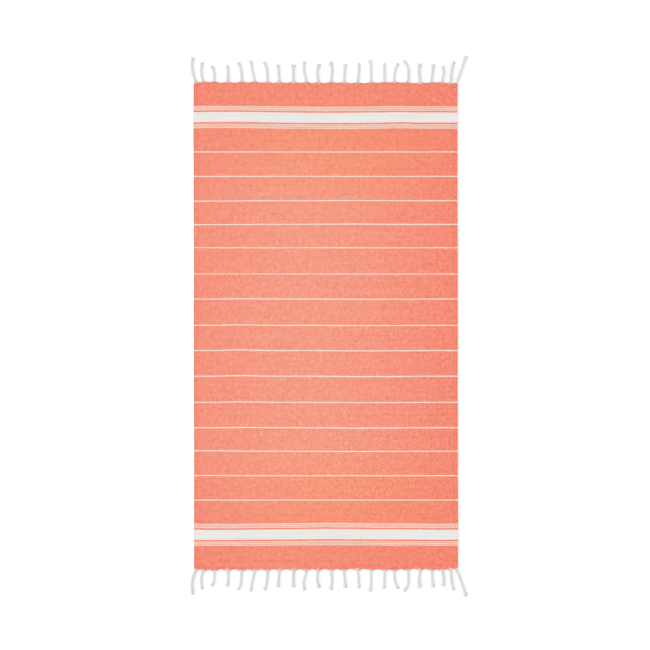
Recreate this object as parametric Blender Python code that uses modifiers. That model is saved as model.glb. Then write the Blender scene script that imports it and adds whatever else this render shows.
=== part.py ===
"""A hammam towel laid out flat, face up: one woven cloth and a knotted fringe at each end.

Metres, +Z up. The towel lies on the plane z = 0 with its length along Y, and the origin is under
the middle of its whole outline. The warp runs along Y. Past the last weft thread at each end it is
left bare as a narrow strip, and is gathered there into twisted cords that end in a knot and a tuft.
"""

import math
from typing import NamedTuple

import bmesh
import bpy
from mathutils import Vector

MM = 0.001

# The woven cloth, between its selvedges and between its last weft threads.
CLOTH_WIDTH = 900 * MM
CLOTH_LENGTH = 1661 * MM
CLOTH_THICKNESS = 1.2 * MM
CLOTH_COLUMNS = 30
CLOTH_ROWS = 34
SKEW = 1.0 * MM  # how far each end is shifted sideways, the lower one to the right

# The last tassel leans out past the right selvedge, so the cloth's middle lies left of the origin.
CLOTH_MIDDLE_X = -10.3 * MM

# The bare warp beside the last weft thread.
PARTING = 0.3 * MM
STRIP_WIDTH = 4.0 * MM

# The twisted cords. Each shows as two ridges with a hollow on each side between them.
CORD_RIDGE = 6.2 * MM
CORD_HOLLOW = 4.5 * MM
CORD_LAY = 30 * MM
RINGS_PER_HALF_TURN = 4
HOOK_POWER = 6  # the higher, the nearer its end a hooked tassel bends

# Linear colours.
CORAL = (0.90, 0.29, 0.20)
WHITE = (0.84, 0.82, 0.78)
ROUGHNESS = 0.9


class Wave(NamedTuple):
    """A slow wave along a side of the cloth."""

    height: float
    length: float
    shift: float


SIDE_WAVES = (
    Wave(height=0.3 * MM, length=740 * MM, shift=0.10),
    Wave(height=0.2 * MM, length=310 * MM, shift=0.40),
)


class Swelling(NamedTuple):
    """A place where a tassel pulls the end of the cloth out or lets it in."""

    middle: float
    reach: float
    height: float


END_SWELLINGS = (
    Swelling(middle=-445 * MM, reach=40 * MM, height=0.9 * MM),
    Swelling(middle=-392 * MM, reach=45 * MM, height=2.7 * MM),
    Swelling(middle=-250 * MM, reach=120 * MM, height=1.4 * MM),
    Swelling(middle=-10 * MM, reach=26 * MM, height=-0.8 * MM),
    Swelling(middle=110 * MM, reach=60 * MM, height=-1.5 * MM),
    Swelling(middle=232 * MM, reach=42 * MM, height=1.6 * MM),
    Swelling(middle=312 * MM, reach=45 * MM, height=-2.0 * MM),
    Swelling(middle=385 * MM, reach=40 * MM, height=1.2 * MM),
    Swelling(middle=432 * MM, reach=30 * MM, height=-3.0 * MM),
)


class Ripple(NamedTuple):
    """A low ridge where the cloth doesn't lie quite flat. Sizes are half of the whole."""

    x: float
    y: float
    reach: float
    width: float
    turn: float
    height: float


RIPPLES = (
    Ripple(x=192 * MM, y=20 * MM, reach=420 * MM, width=52 * MM, turn=91, height=1.7 * MM),
    Ripple(x=-160 * MM, y=-95 * MM, reach=380 * MM, width=48 * MM, turn=88, height=1.4 * MM),
    Ripple(x=-345 * MM, y=395 * MM, reach=210 * MM, width=60 * MM, turn=72, height=2.2 * MM),
    Ripple(x=-60 * MM, y=520 * MM, reach=190 * MM, width=55 * MM, turn=12, height=1.6 * MM),
    Ripple(x=350 * MM, y=430 * MM, reach=180 * MM, width=52 * MM, turn=112, height=2.0 * MM),
    Ripple(x=10 * MM, y=215 * MM, reach=150 * MM, width=60 * MM, turn=-24, height=1.3 * MM),
    Ripple(x=-365 * MM, y=-230 * MM, reach=240 * MM, width=55 * MM, turn=97, height=2.0 * MM),
    Ripple(x=20 * MM, y=-400 * MM, reach=210 * MM, width=58 * MM, turn=18, height=1.6 * MM),
    Ripple(x=355 * MM, y=-290 * MM, reach=260 * MM, width=58 * MM, turn=80, height=2.3 * MM),
    Ripple(x=-230 * MM, y=-590 * MM, reach=170 * MM, width=52 * MM, turn=-8, height=1.7 * MM),
)


class Tassel(NamedTuple):
    """One tassel, in millimetres: across from the cloth's middle and out from its end."""

    root: float  # where it leaves the cloth
    lean: float  # how far to the right of its root it ends
    bow: float  # how far its middle is pushed to the right
    hook: float  # how far its end bends to the right besides
    length: float  # from the end of the cloth to the end of the tuft
    girth: float  # its thickness against the others


TASSELS = (
    Tassel(root=-443.1, lean=-10.0, bow=-8.8, hook=0.4, length=86.0, girth=1.05),
    Tassel(root=-417.4, lean=-4.0, bow=-6.2, hook=1.4, length=67.6, girth=0.95),
    Tassel(root=-380.8, lean=-2.0, bow=0.5, hook=-9.2, length=54.7, girth=0.95),
    Tassel(root=-337.4, lean=-0.9, bow=3.9, hook=0.0, length=59.0, girth=1.00),
    Tassel(root=-286.7, lean=-3.1, bow=-1.0, hook=-13.0, length=69.0, girth=1.00),
    Tassel(root=-241.4, lean=-16.1, bow=-1.7, hook=0.5, length=75.1, girth=0.95),
    Tassel(root=-199.7, lean=-5.4, bow=1.0, hook=-7.0, length=70.0, girth=1.00),
    Tassel(root=-159.2, lean=-5.7, bow=0.3, hook=1.8, length=61.7, girth=1.05),
    Tassel(root=-111.5, lean=0.3, bow=-0.4, hook=-0.7, length=62.3, girth=1.05),
    Tassel(root=-63.8, lean=-17.2, bow=-2.5, hook=10.5, length=71.7, girth=0.95),
    Tassel(root=-23.7, lean=0.8, bow=-7.2, hook=2.2, length=64.2, girth=1.00),
    Tassel(root=15.9, lean=4.9, bow=1.7, hook=-7.2, length=70.0, girth=1.05),
    Tassel(root=60.7, lean=5.6, bow=-0.4, hook=-0.2, length=64.4, girth=1.00),
    Tassel(root=107.0, lean=6.3, bow=1.0, hook=-1.3, length=67.6, girth=1.00),
    Tassel(root=153.7, lean=0.7, bow=-0.8, hook=-5.0, length=77.5, girth=0.95),
    Tassel(root=200.2, lean=-0.9, bow=-0.9, hook=-1.7, length=66.5, girth=1.00),
    Tassel(root=232.8, lean=9.4, bow=-3.3, hook=6.0, length=64.8, girth=0.95),
    Tassel(root=278.4, lean=-4.1, bow=5.4, hook=-10.2, length=75.5, girth=1.00),
    Tassel(root=323.2, lean=-3.9, bow=-4.3, hook=2.0, length=66.3, girth=1.10),
    Tassel(root=359.9, lean=7.2, bow=-0.8, hook=-1.1, length=62.6, girth=1.00),
    Tassel(root=395.2, lean=5.3, bow=2.6, hook=-2.8, length=55.8, girth=1.00),
    Tassel(root=426.1, lean=8.1, bow=-2.9, hook=3.5, length=74.8, girth=1.00),
    Tassel(root=445.5, lean=31.8, bow=1.2, hook=1.3, length=94.7, girth=1.05),
)


class Section(NamedTuple):
    """A four-cornered section of a tassel, and how far its lowest corner clears the floor."""

    at: float
    half_width: float
    half_height: float
    underside: float


# The warp gathers from a flat fan inside the strip to a round cord. Measured from the strip's inner edge.
ROOT_SECTIONS = (
    Section(at=2.2 * MM, half_width=6.6 * MM, half_height=0.35 * MM, underside=0.25 * MM),
    Section(at=4.8 * MM, half_width=6.4 * MM, half_height=1.2 * MM, underside=0.25 * MM),
    Section(at=8.0 * MM, half_width=5.7 * MM, half_height=2.9 * MM, underside=0.2 * MM),
)
CORD_START = 11.5 * MM

# The neck, the knot and the cut tuft. Measured back from the end of the tuft.
END_SECTIONS = (
    Section(at=12.2 * MM, half_width=7.6 * MM, half_height=5.8 * MM, underside=0.0),
    Section(at=8.4 * MM, half_width=7.9 * MM, half_height=6.1 * MM, underside=0.0),
    Section(at=5.4 * MM, half_width=6.2 * MM, half_height=4.2 * MM, underside=0.4 * MM),
    Section(at=2.6 * MM, half_width=6.6 * MM, half_height=3.4 * MM, underside=0.0),
    Section(at=0.0, half_width=5.8 * MM, half_height=2.0 * MM, underside=0.0),
)
CORD_END = 15.5 * MM


def wave_at(waves, along):
    """How far slow waves push an edge out at a distance along it."""
    return sum(w.height * math.sin(math.tau * (along / w.length + w.shift)) for w in waves)


def swell(distance):
    """A soft bump, 1 at its middle and level with nothing from a distance of 1 on."""
    return (1 + math.cos(math.pi * distance)) / 2 if abs(distance) < 1 else 0.0


def end_curve(x):
    """How far the last weft thread lies from the middle of the towel, as a smooth curve."""
    pulls = sum(pull.height * swell((x - pull.middle) / pull.reach) for pull in END_SWELLINGS)
    return CLOTH_LENGTH / 2 + pulls


def end_edge(x):
    """The same, in the straight runs that the sheet's columns make of that curve."""
    pitch = CLOTH_WIDTH / CLOTH_COLUMNS
    before = math.floor(x / pitch) * pitch
    part = (x - before) / pitch
    return end_curve(before) * (1 - part) + end_curve(before + pitch) * part


def side_edge(side, y):
    """Where the selvedge lies: side is -1 for the left one and 1 for the right one."""
    shift = -SKEW * y / (CLOTH_LENGTH / 2)
    return side * (CLOTH_WIDTH / 2 + wave_at(SIDE_WAVES, side * y)) + shift


def ripple_height(x, y):
    """How far the cloth's underside is lifted off the floor."""
    lift = 0.0
    for ripple in RIPPLES:
        turn = math.radians(ripple.turn)
        across, up = x - ripple.x, y - ripple.y
        along = across * math.cos(turn) + up * math.sin(turn)
        aside = up * math.cos(turn) - across * math.sin(turn)
        lift = max(lift, ripple.height * swell(along / ripple.reach) * swell(aside / ripple.width))
    return lift


def on_cloth(u, v):
    """The underside's point at u across and v along, each from -1 to 1."""
    level = v * CLOTH_LENGTH / 2
    left, right = side_edge(-1, level), side_edge(1, level)
    x = left + (right - left) * (u + 1) / 2
    y = v * end_edge(x)
    return Vector((x, y, ripple_height(x, y)))


def grid_object(name, columns, rows, place):
    """A grid whose corners, from -1 to 1 each way, are moved to where place puts them."""
    sheet = bmesh.new()
    bmesh.ops.create_grid(sheet, x_segments=columns, y_segments=rows, size=1.0)
    for corner in sheet.verts:
        corner.co = place(corner.co.x, corner.co.y)
    return mesh_object(name, sheet)


def mesh_object(name, shape):
    """An object for the shape, placed with the cloth's middle where it belongs."""
    mesh = bpy.data.meshes.new(name)
    shape.to_mesh(mesh)
    shape.free()
    thing = bpy.data.objects.new(name, mesh)
    thing.location.x = CLOTH_MIDDLE_X
    return thing


def thicken(sheet):
    """Gives a sheet the cloth's thickness, upwards from its underside."""
    body = sheet.modifiers.new("Thickness", "SOLIDIFY")
    body.thickness = CLOTH_THICKNESS
    body.offset = 1.0


def woven_cloth():
    """The cloth: one sheet from selvedge to selvedge."""
    cloth = grid_object("cloth", CLOTH_COLUMNS, CLOTH_ROWS, on_cloth)
    thicken(cloth)
    return cloth


def bare_strip(name, end):
    """The bare warp past the last weft thread: end is 1 for the upper end and -1 for the lower."""

    def on_strip(u, v):
        depth = (1 + end * v) / 2
        edge = on_cloth(u, end)
        return edge + Vector((0.0, end * (PARTING + depth * STRIP_WIDTH), 0.0))

    strip = grid_object(name, CLOTH_COLUMNS, 1, on_strip)
    thicken(strip)
    return strip


def tassel_centre(tassel, end, out):
    """The middle of a tassel in plan, at a distance out from the end of the cloth."""
    part = out / (tassel.length * MM)
    aside = tassel.lean * part + tassel.bow * 4 * part * (1 - part) + tassel.hook * part**HOOK_POWER
    x = (tassel.root + aside) * MM
    y = end * (end_edge(tassel.root * MM) + PARTING + out)
    return Vector((x, y, 0.0))


def tassel_run(tassel, end, out):
    """The way a tassel runs: straight out of the strip, and along its own bend past the fan."""
    straight = Vector((0.0, end, 0.0))
    bent = tassel_centre(tassel, end, out + MM) - tassel_centre(tassel, end, out - MM)
    share = min(1.0, max(0.0, (out - STRIP_WIDTH) / (CORD_START - STRIP_WIDTH)))
    return straight.lerp(bent.normalized(), share).normalized()


def tassel_ring(tassel, end, section, turn=0.0):
    """The four corners of a section, square to the tassel's run and turned about it."""
    aside = tassel_run(tassel, end, section.at).cross(Vector((0.0, 0.0, 1.0)))
    half_width = section.half_width * tassel.girth
    half_height = section.half_height * tassel.girth
    centre = tassel_centre(tassel, end, section.at)
    centre.z = section.underside + half_height
    corners = []
    for corner in range(4):
        angle = turn + corner * math.pi / 2
        reach = half_height if corner % 2 else half_width
        spoke = aside * math.cos(angle) + Vector((0.0, 0.0, math.sin(angle)))
        corners.append(centre + spoke * reach)
    return corners


def cord_length(tassel):
    """How long a tassel's twisted stretch is."""
    return tassel.length * MM - CORD_END - CORD_START


def half_turns(tassel):
    """How often its plies change sides: a whole number, so it ends as flat as it starts."""
    return max(1, round(cord_length(tassel) / (CORD_LAY / 2)))


def cord_rings(tassel, end):
    """The twisted stretch, which rests on its ridges."""
    lift = (CORD_RIDGE - CORD_HOLLOW) * tassel.girth
    steps = half_turns(tassel) * RINGS_PER_HALF_TURN
    rings = []
    for step in range(steps + 1):
        at = CORD_START + cord_length(tassel) * step / steps
        section = Section(at, CORD_RIDGE, CORD_HOLLOW, lift)
        turn = math.pi * step / RINGS_PER_HALF_TURN
        rings.append(tassel_ring(tassel, end, section, turn))
    return rings


def end_rings(tassel, end):
    """The knot and the tuft, turned as the cord leaves them."""
    turn = math.pi * half_turns(tassel)
    rings = []
    for section in END_SECTIONS:
        out = tassel.length * MM - section.at
        rings.append(tassel_ring(tassel, end, section._replace(at=out), turn))
    return rings


def loft(shape, rings):
    """A closed skin over rings of four corners. Its faces fold inwards between the two plies."""
    loops = [[shape.verts.new(corner) for corner in ring] for ring in rings]
    for near, far in zip(loops, loops[1:]):
        for corner in range(4):
            following = (corner + 1) % 4
            shape.faces.new((near[corner], near[following], far[following]))
            shape.faces.new((near[corner], far[following], far[corner]))
    shape.faces.new(reversed(loops[0]))
    shape.faces.new(loops[-1])


def tassel_row(name, end):
    """All tassels of one end, each a skin of its own: fan, cord, knot and tuft."""
    row = bmesh.new()
    for tassel in TASSELS:
        rings = [tassel_ring(tassel, end, section) for section in ROOT_SECTIONS]
        rings += cord_rings(tassel, end) + end_rings(tassel, end)
        loft(row, rings)
    bmesh.ops.recalc_face_normals(row, faces=row.faces)
    return mesh_object(name, row)


def fringe(name, end, joined):
    """One end's fringe: its tassels fused at their roots into the strip of bare warp."""
    strip = bare_strip(name, end)
    tassels = tassel_row(name + "_tassels", end)
    joined.objects.link(tassels)
    tassels.hide_render = True
    tassels.display_type = "WIRE"
    union = strip.modifiers.new("Tassels", "BOOLEAN")
    union.operation = "UNION"
    union.solver = "EXACT"
    union.object = tassels
    return strip


def cotton(name, colour):
    """A plain dyed or bleached cotton."""
    material = bpy.data.materials.new(name)
    material.use_nodes = True
    shader = material.node_tree.nodes["Principled BSDF"]
    shader.inputs["Base Color"].default_value = (*colour, 1.0)
    shader.inputs["Roughness"].default_value = ROUGHNESS
    shader.inputs["Metallic"].default_value = 0.0
    return material


def clear_scene():
    """Removes whatever the scene holds."""
    for thing in list(bpy.data.objects):
        bpy.data.objects.remove(thing, do_unlink=True)


def new_collection(name):
    """A collection in the scene."""
    collection = bpy.data.collections.new(name)
    bpy.context.scene.collection.children.link(collection)
    return collection


def main():
    clear_scene()
    towel = new_collection("hammam_towel")
    joined = new_collection("joined_shapes")
    coral = cotton("coral_cotton", CORAL)
    white = cotton("white_cotton", WHITE)
    pieces = (
        (woven_cloth(), coral),
        (fringe("fringe_top", 1, joined), white),
        (fringe("fringe_bottom", -1, joined), white),
    )
    for piece, material in pieces:
        piece.data.materials.append(material)
        towel.objects.link(piece)


main()
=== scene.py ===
"""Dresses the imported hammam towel: a woven cloth with stripes and bands, and a knotted fringe at each end.

Everything is in metres in the row frame: +Z up from the floor, +Y along the towel.
"""

import logging
import math
from dataclasses import dataclass
from dataclasses import field
from enum import Enum

import bmesh
import bpy
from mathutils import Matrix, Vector


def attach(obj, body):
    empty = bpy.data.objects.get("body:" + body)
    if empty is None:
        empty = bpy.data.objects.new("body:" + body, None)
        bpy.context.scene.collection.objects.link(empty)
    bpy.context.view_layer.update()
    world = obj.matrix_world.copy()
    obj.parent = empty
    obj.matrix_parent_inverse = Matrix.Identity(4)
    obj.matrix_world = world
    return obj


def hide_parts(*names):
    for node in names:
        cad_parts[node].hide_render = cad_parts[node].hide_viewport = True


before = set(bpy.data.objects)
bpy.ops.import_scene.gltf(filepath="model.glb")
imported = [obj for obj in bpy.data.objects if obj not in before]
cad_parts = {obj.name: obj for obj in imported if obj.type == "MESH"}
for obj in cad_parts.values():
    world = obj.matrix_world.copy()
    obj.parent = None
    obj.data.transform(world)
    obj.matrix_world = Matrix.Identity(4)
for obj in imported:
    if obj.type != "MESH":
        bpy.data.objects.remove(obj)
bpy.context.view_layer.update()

Colour = tuple[float, float, float]

MM = 0.001
SMOOTHING_LIMIT = math.radians(40)
UP = Vector((0.0, 0.0, 1.0))

log = logging.getLogger("hammam_towel")


# ---------------------------------------------------------------- node trees as expressions


class Flow:
    """One output of a node. Python's operators on it add the nodes that work it out."""

    def __init__(self, graph: "Graph", socket: bpy.types.NodeSocket) -> None:
        """Stands for one output of a node in a tree."""
        self.graph = graph
        self.socket = socket

    @property
    def is_vector(self) -> bool:
        """Whether this is a vector rather than a number."""
        return self.socket.type == "VECTOR"

    def apply(self, operation: str, *others: "Value", swapped: bool = False) -> "Flow":
        """Adds one Math node, or one Vector Math node for a vector.

        Args:
            operation: the node's operation.
            others: its further inputs.
            swapped: whether this flow comes second rather than first.

        Returns:
            The node's result.
        """
        values = [self, *others]
        if swapped:
            values.reverse()
        kind = "ShaderNodeVectorMath" if self.is_vector else "ShaderNodeMath"
        return self.graph.node(kind, {"operation": operation}, *values)

    def __add__(self, other: "Value") -> "Flow":
        """This plus the other."""
        return self.apply("ADD", other)

    def __radd__(self, other: "Value") -> "Flow":
        """The other plus this."""
        return self.apply("ADD", other, swapped=True)

    def __sub__(self, other: "Value") -> "Flow":
        """This less the other."""
        return self.apply("SUBTRACT", other)

    def __rsub__(self, other: "Value") -> "Flow":
        """The other less this."""
        return self.apply("SUBTRACT", other, swapped=True)

    def __mul__(self, other: "Value") -> "Flow":
        """This times the other.

        Args:
            other: a number, which also scales a vector, or a vector.

        Returns:
            The product.
        """
        if self.is_vector and not isinstance(other, (Vector, tuple)):
            if not (isinstance(other, Flow) and other.is_vector):
                return self.graph.node("ShaderNodeVectorMath", {"operation": "SCALE"}, self, Scale=other)
        return self.apply("MULTIPLY", other)

    def __rmul__(self, other: "Value") -> "Flow":
        """The other times this."""
        return self.__mul__(other)

    def __truediv__(self, other: "Value") -> "Flow":
        """This divided by the other."""
        return self.apply("DIVIDE", other)

    def __rtruediv__(self, other: "Value") -> "Flow":
        """The other divided by this."""
        return self.apply("DIVIDE", other, swapped=True)

    def __pow__(self, other: "Value") -> "Flow":
        """This to the power of the other."""
        return self.apply("POWER", other)

    def __abs__(self) -> "Flow":
        """This without its sign."""
        return self.apply("ABSOLUTE")

    def at_most(self, other: "Value") -> "Flow":
        """The lesser of this and the other."""
        return self.apply("MINIMUM", other)

    def at_least(self, other: "Value") -> "Flow":
        """The greater of this and the other."""
        return self.apply("MAXIMUM", other)

    def below(self, other: "Value") -> "Flow":
        """1 where this is less than the other, and 0 elsewhere."""
        return self.apply("LESS_THAN", other)

    def floor(self) -> "Flow":
        """The whole number below this."""
        return self.apply("FLOOR")

    def clamped(self) -> "Flow":
        """This, held from 0 to 1."""
        return self.at_least(0.0).at_most(1.0)

    def eased(self, start: "Value", end: "Value") -> "Flow":
        """A smooth step from 0 at start to 1 at end.

        Args:
            start: where it begins to rise.
            end: where it has risen.

        Returns:
            The step's height.
        """
        settings = {"interpolation_type": "SMOOTHSTEP"}
        span = {"Value": self, "From Min": start, "From Max": end}
        return self.graph.node("ShaderNodeMapRange", settings, **span)

    def parts(self) -> tuple["Flow", "Flow", "Flow"]:
        """A vector's three numbers."""
        split = self.graph.add("ShaderNodeSeparateXYZ", {}, self)
        return tuple(Flow(self.graph, socket) for socket in split.outputs)

    def cross(self, other: "Value") -> "Flow":
        """A vector square to this one and the other."""
        return self.apply("CROSS_PRODUCT", other)

    def unit(self) -> "Flow":
        """A vector of length 1 along this one."""
        return self.apply("NORMALIZE")


Value = Flow | float | Vector | tuple


class Graph:
    """A node tree that is built by calls instead of by hand."""

    def __init__(self, tree: bpy.types.NodeTree) -> None:
        """Takes an empty tree to fill."""
        self.tree = tree

    def add(self, kind: str, settings: dict, *values: Value, **named: Value) -> bpy.types.Node:
        """Adds a node, sets it up, and links or fills its inputs.

        Args:
            kind: the node's type.
            settings: its own settings, which are set before its inputs.
            values: what goes into its inputs in order, those that are switched off left out.
            named: what goes into inputs by name.

        Returns:
            The node.
        """
        node = self.tree.nodes.new(kind)
        for name, value in settings.items():
            setattr(node, name, value)
        inputs = [socket for socket in node.inputs if socket.enabled]
        by_name = {socket.name: socket for socket in reversed(inputs)}
        for socket, value in zip(inputs, values):
            self.fill(socket, value)
        for name, value in named.items():
            self.fill(by_name[name.replace("_", " ")], value)
        return node

    def fill(self, socket: bpy.types.NodeSocket, value: Value) -> None:
        """Links a flow to a socket, or sets the socket's own value.

        Args:
            socket: the input to fill.
            value: a flow, a number, a vector, a colour, a name or a datablock.
        """
        if isinstance(value, Flow):
            self.tree.links.new(value.socket, socket)
        elif socket.type == "RGBA":
            socket.default_value = (*value, 1.0)
        else:
            socket.default_value = value

    def node(self, kind: str, settings: dict, *values: Value, **named: Value) -> Flow:
        """Adds a node as add does, and gives its first output that is switched on."""
        node = self.add(kind, settings, *values, **named)
        return Flow(self, next(socket for socket in node.outputs if socket.enabled))

    def vector(self, x: Value, y: Value, z: Value) -> Flow:
        """Three numbers as one vector."""
        return self.node("ShaderNodeCombineXYZ", {}, x, y, z)

    def mix(self, share: Value, first: Value, second: Value) -> Flow:
        """A blend of two numbers: the first at a share of 0, and the second at 1."""
        return self.node("ShaderNodeMix", {"data_type": "FLOAT"}, share, first, second)

    def blend(self, share: Value, first: Value, second: Value) -> Flow:
        """A blend of two colours: the first at a share of 0, and the second at 1."""
        return self.node("ShaderNodeMix", {"data_type": "RGBA"}, share, first, second)

    def noise(self, where: Value, scale: float = 1.0, detail: float = 1.0) -> Flow:
        """Soft noise from 0 to 1, around 0.5, with so many swells in a metre and so much finer detail."""
        return self.node("ShaderNodeTexNoise", {}, where, Scale=scale, Detail=detail)


@dataclass(frozen=True)
class Grain:
    """Soft noise over the cloth: how many of its swells fit in a metre across and along, and its seed."""

    across: float
    along: float
    seed: float
    detail: float = 1.0
    contrast: float = 1.0

    def at(self, graph: Graph, x: Value, y: Value) -> Flow:
        """The noise at a place, from 0 to 1, around 0.5."""
        return graph.noise(graph.vector(x * self.across, y * self.along, self.seed), detail=self.detail)

    def swing(self, graph: Graph, x: Value, y: Value) -> Flow:
        """The noise at a place, around 0, at its contrast."""
        return (self.at(graph, x, y) - 0.5) * self.contrast


class ShapeGraph(Graph):
    """A Geometry Nodes tree with named inputs for its sizes."""

    def __init__(self, name: str) -> None:
        """Starts a tree.

        Args:
            name: the tree's name.
        """
        super().__init__(bpy.data.node_groups.new(name, "GeometryNodeTree"))
        self.identifiers: dict[str, str] = {}
        self.values: dict[str, Value] = {}
        self.source = self.tree.nodes.new("NodeGroupInput")
        self.input("Geometry", "NodeSocketGeometry", None)

    def input(self, name: str, kind: str, value: Value | None) -> Flow:
        """Adds a named input.

        Args:
            name: the input's name.
            kind: its socket type.
            value: what the modifier sets it to.

        Returns:
            The input's flow inside the tree.
        """
        item = self.tree.interface.new_socket(name=name, in_out="INPUT", socket_type=kind)
        self.identifiers[name] = item.identifier
        if value is not None:
            self.values[name] = value
        return Flow(self, self.source.outputs[name])

    def size(self, name: str, value: float) -> Flow:
        """Adds a named input for a number."""
        return self.input(name, "NodeSocketFloat", value)

    def count(self, name: str, value: int) -> Flow:
        """Adds a named input for a whole number."""
        return self.input(name, "NodeSocketInt", value)

    @property
    def incoming(self) -> Flow:
        """The geometry that the modifier is given."""
        return Flow(self, self.source.outputs["Geometry"])

    def read(self, name: str, data_type: str = "FLOAT") -> Flow:
        """A named attribute of the geometry."""
        return self.node("GeometryNodeInputNamedAttribute", {"data_type": data_type}, name)

    def store(self, shape: Flow, name: str, value: Value, data_type: str = "FLOAT") -> Flow:
        """A shape with a value kept at each of its points, as a FLOAT or a FLOAT_VECTOR attribute."""
        settings = {"data_type": data_type, "domain": "POINT"}
        return self.node("GeometryNodeStoreNamedAttribute", settings, shape, Name=name, Value=value)

    def finish(self, shape: Flow) -> None:
        """Ends the tree with smooth faces, real geometry and the material.

        Args:
            shape: the geometry to give out.
        """
        finish = self.input("Material", "NodeSocketMaterial", None)
        smooth = self.node("GeometryNodeSetShadeSmooth", {}, shape)
        real = self.node("GeometryNodeRealizeInstances", {}, smooth)
        dressed = self.node("GeometryNodeSetMaterial", {}, real, Material=finish)
        self.tree.interface.new_socket(name="Geometry", in_out="OUTPUT", socket_type="NodeSocketGeometry")
        out = self.tree.nodes.new("NodeGroupOutput")
        self.tree.links.new(dressed.socket, out.inputs[0])

    def run(self, guide: bpy.types.Object, finish: bpy.types.Material) -> bpy.types.Modifier:
        """Puts the tree on an object with all of its inputs set.

        Args:
            guide: the object whose mesh the tree works on.
            finish: the material that it sets.

        Returns:
            The modifier.
        """
        modifier = guide.modifiers.new(self.tree.name, "NODES")
        modifier.node_group = self.tree
        for name, value in self.values.items():
            modifier[self.identifiers[name]] = value
        modifier[self.identifiers["Material"]] = finish
        return modifier


def plain_mesh(name: str, guide: bpy.types.Object) -> bpy.types.Object:
    """Turns an object and its modifiers into a piece with a plain mesh.

    Args:
        name: the piece's name.
        guide: the object with the modifiers, which is removed.

    Returns:
        The piece, at the origin.
    """
    graph = bpy.context.evaluated_depsgraph_get()
    mesh = bpy.data.meshes.new_from_object(guide.evaluated_get(graph))
    mesh.name = name
    bpy.data.objects.remove(guide)
    piece = bpy.data.objects.new(name, mesh)
    bpy.context.scene.collection.objects.link(piece)
    return piece


@dataclass
class Line:
    """A guide line: its points, and the values that each of them carries."""

    points: list[Vector] = field(default_factory=list)
    carried: dict[str, list] = field(default_factory=dict)

    def step(self, point: Vector, **values: float | Vector) -> None:
        """Adds a point.

        Args:
            point: its place.
            values: what it carries.
        """
        self.points.append(point)
        for key, value in values.items():
            self.carried.setdefault(key, []).append(value)


def line_object(name: str, lines: list[Line]) -> bpy.types.Object:
    """Makes guide lines into one mesh of edges, with what each point carries as attributes.

    Args:
        name: the object's name.
        lines: the guide lines, all carrying the same attributes.

    Returns:
        The object, in the scene.
    """
    points: list[Vector] = []
    edges: list[tuple[int, int]] = []
    for line in lines:
        first = len(points)
        points += line.points
        edges += [(first + step, first + step + 1) for step in range(len(line.points) - 1)]
    mesh = bpy.data.meshes.new(name)
    mesh.from_pydata(points, edges, [])
    for key in lines[0].carried:
        carried = [value for line in lines for value in line.carried[key]]
        is_vector = isinstance(carried[0], Vector)
        attribute = mesh.attributes.new(key, "FLOAT_VECTOR" if is_vector else "FLOAT", "POINT")
        flat = [number for value in carried for number in value] if is_vector else carried
        attribute.data.foreach_set("vector" if is_vector else "value", flat)
    guide = bpy.data.objects.new(name, mesh)
    bpy.context.scene.collection.objects.link(guide)
    return guide


# ---------------------------------------------------------------- the outline, as in the source


def sine(angle: Value) -> Value:
    """The sine of a number or of a flow."""
    return angle.apply("SINE") if isinstance(angle, Flow) else math.sin(angle)


def cosine(angle: Value) -> Value:
    """The cosine of a number or of a flow."""
    return angle.apply("COSINE") if isinstance(angle, Flow) else math.cos(angle)


def swell(distance: Value) -> Value:
    """A soft bump.

    Args:
        distance: how far a place is from the bump's middle, against its reach.

    Returns:
        1 in the middle, and 0 from a distance of 1 on.
    """
    if isinstance(distance, Flow):
        return (abs(distance).at_most(1.0) * math.pi).apply("COSINE") * 0.5 + 0.5
    return (1 + math.cos(math.pi * min(abs(distance), 1.0))) / 2


@dataclass(frozen=True)
class Wave:
    """A slow wave along an edge of the cloth."""

    height: float
    length: float
    shift: float

    def at(self, along: Value) -> Value:
        """How far it pushes the edge out at a distance along it."""
        return self.height * sine(along * (math.tau / self.length) + math.tau * self.shift)


@dataclass(frozen=True)
class Swelling:
    """A single soft bump along a line, such as a push of an edge outwards or inwards."""

    middle: float
    reach: float
    height: float

    def at(self, along: Value) -> Value:
        """How high it is at a distance along the line."""
        return self.height * swell((along - self.middle) / self.reach)


@dataclass(frozen=True)
class Ripple:
    """A low ridge where the cloth doesn't lie quite flat. Sizes are half of the whole."""

    x: float
    y: float
    reach: float
    width: float
    turn: float
    height: float

    def lift(self, x: Flow, y: Flow) -> Flow:
        """How far it lifts the cloth.

        Args:
            x: the place across.
            y: the place along.

        Returns:
            The lift there.
        """
        turn = math.radians(self.turn)
        across, up = x - self.x * MM, y - self.y * MM
        along = across * math.cos(turn) + up * math.sin(turn)
        aside = up * math.cos(turn) - across * math.sin(turn)
        high = swell(along / (self.reach * MM)) * swell(aside / (self.width * MM))
        return high * (self.height * MM)


RIPPLES = (
    Ripple(x=192, y=20, reach=420, width=52, turn=91, height=1.7),
    Ripple(x=-160, y=-95, reach=380, width=48, turn=88, height=1.4),
    Ripple(x=-345, y=395, reach=210, width=60, turn=72, height=2.2),
    Ripple(x=-60, y=520, reach=190, width=55, turn=12, height=1.6),
    Ripple(x=350, y=430, reach=180, width=52, turn=112, height=2.0),
    Ripple(x=10, y=215, reach=150, width=60, turn=-24, height=1.3),
    Ripple(x=-365, y=-230, reach=240, width=55, turn=97, height=2.0),
    Ripple(x=20, y=-400, reach=210, width=58, turn=18, height=1.6),
    Ripple(x=355, y=-290, reach=260, width=58, turn=80, height=2.3),
    Ripple(x=-230, y=-590, reach=170, width=52, turn=-8, height=1.7),
)


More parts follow.
